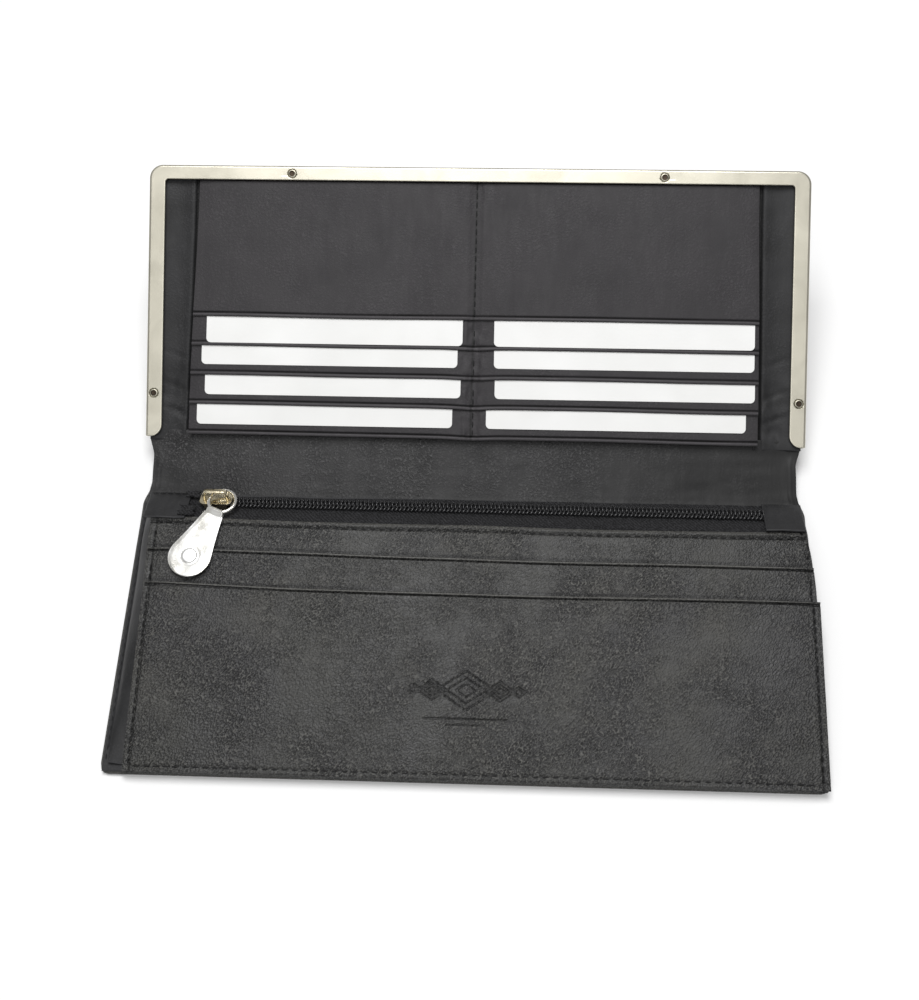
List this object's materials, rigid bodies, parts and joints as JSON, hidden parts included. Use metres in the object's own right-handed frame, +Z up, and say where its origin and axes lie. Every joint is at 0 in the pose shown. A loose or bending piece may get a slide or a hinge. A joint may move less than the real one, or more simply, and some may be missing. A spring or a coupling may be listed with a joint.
{
  "type": "long wallet",
  "caption": "Long leather frame wallet, open: zip pocket and slip pockets in the body, a two-fold spine, and a metal-framed lid with card slots.",
  "frame": {"origin": "middle of the flat face that the body rests on", "axes": "+X along the wallet to the right, +Y from the front edge towards the lid, +Z up out of the rest face"},
  "size_m": [0.2194, 0.1958, 0.0534],
  "materials": {
    "grained_leather": "satin",
    "gusset_leather": "satin",
    "smooth_leather": "satin",
    "lining": "matte",
    "stiffener": "matte",
    "zip_tape": "matte",
    "zip_coil": "satin",
    "frame_metal": "polished",
    "screw_metal": "satin",
    "card": "matte",
    "slider_metal": "polished",
    "ring_metal": "polished",
    "silver_leather": "gloss",
    "tab_backing": "matte"
  },
  "bodies": {
    "body": {"back_cover": "grained_leather", "back_board": "stiffener", "back_lining": "lining", "body_gusset_left": "gusset_leather", "body_gusset_right": "gusset_leather", "pouch_back": "lining", "pouch_front": "lining", "pouch_gusset_left": "gusset_leather", "pouch_gusset_right": "gusset_leather", "pocket_panel_rear": "grained_leather", "pocket_panel_middle": "grained_leather", "pocket_panel_front": "grained_leather", "zip_tape_front": "zip_tape", "zip_tape_rear": "zip_tape", "zip_coil_front": "zip_coil", "zip_coil_rear": "zip_coil", "zip_tab_left": "grained_leather", "zip_tab_right": "grained_leather"},
    "spine": {"spine_cover": "grained_leather", "spine_lining": "lining"},
    "lid": {"lid_cover": "grained_leather", "lid_lining": "lining", "frame_channel": "frame_metal", "frame_plate": "frame_metal", "frame_screws": "screw_metal", "lid_gusset_left": "gusset_leather", "lid_gusset_right": "gusset_leather"},
    "card_block": {"card_base": "smooth_leather", "card_pocket_1": "smooth_leather", "card_pocket_2": "smooth_leather", "card_pocket_3": "smooth_leather", "card_pocket_4": "smooth_leather"},
    "slider": {"slider_body": "slider_metal", "slider_bridge": "slider_metal"},
    "ring": {"pull_ring": "ring_metal"},
    "pull_tab": {"pull_tab_face": "silver_leather", "pull_tab_backing": "tab_backing", "pull_rivet": "ring_metal"},
    "card_left_1": {"card_left_1": "card"},
    "card_left_2": {"card_left_2": "card"},
    "card_left_3": {"card_left_3": "card"},
    "card_left_4": {"card_left_4": "card"},
    "card_right_1": {"card_right_1": "card"},
    "card_right_2": {"card_right_2": "card"},
    "card_right_3": {"card_right_3": "card"},
    "card_right_4": {"card_right_4": "card"}
  },
  "joints": [
    {"name": "spine_fold", "type": "hinge", "parent": "body", "child": "spine", "pos_m": [0, 0.041, 0.002], "axis": [-1, 0, 0], "range_deg": [-76.3, 10.2]},
    {"name": "lid_fold", "type": "hinge", "parent": "spine", "child": "lid", "pos_m": [0, 0.06026, 0.00841], "axis": [-1, 0, 0], "range_deg": [-84.4, 17.8]},
    {"name": "card_block_swing", "type": "hinge", "parent": "lid", "child": "card_block", "pos_m": [0, 0.13961, 0.0479], "axis": [-1, 0, 0], "range_deg": [0, 5]},
    {"name": "card_left_1_slide", "type": "slide", "parent": "card_block", "child": "card_left_1", "axis": [0, -0.9048, -0.4258], "range_m": [0, 0.044]},
    {"name": "card_left_2_slide", "type": "slide", "parent": "card_block", "child": "card_left_2", "axis": [0, -0.9048, -0.4258], "range_m": [0, 0.038]},
    {"name": "card_left_3_slide", "type": "slide", "parent": "card_block", "child": "card_left_3", "axis": [0, -0.9048, -0.4258], "range_m": [0, 0.028]},
    {"name": "card_left_4_slide", "type": "slide", "parent": "card_block", "child": "card_left_4", "axis": [0, -0.9048, -0.4258], "range_m": [0, 0.019]},
    {"name": "card_right_1_slide", "type": "slide", "parent": "card_block", "child": "card_right_1", "axis": [0, -0.9048, -0.4258], "range_m": [0, 0.044]},
    {"name": "card_right_2_slide", "type": "slide", "parent": "card_block", "child": "card_right_2", "axis": [0, -0.9048, -0.4258], "range_m": [0, 0.038]},
    {"name": "card_right_3_slide", "type": "slide", "parent": "card_block", "child": "card_right_3", "axis": [0, -0.9048, -0.4258], "range_m": [0, 0.028]},
    {"name": "card_right_4_slide", "type": "slide", "parent": "card_block", "child": "card_right_4", "axis": [0, -0.9048, -0.4258], "range_m": [0, 0.019]},
    {"name": "slider_slide", "type": "slide", "parent": "body", "child": "slider", "axis": [1, 0, 0], "range_m": [0, 0.168], "deforming": ["zip_coil_front", "zip_coil_rear"]},
    {"name": "ring_swing", "type": "hinge", "parent": "slider", "child": "ring", "pos_m": [-0.0823, 0.03685, 0.01445], "axis": [-1, 0, 0], "range_deg": [0, 20]},
    {"name": "tab_swing", "type": "hinge", "parent": "ring", "child": "pull_tab", "pos_m": [-0.08145, 0.03043, 0.01532], "axis": [-0.9232, 0.3843, 0], "range_deg": [0, 120]}
  ]
}
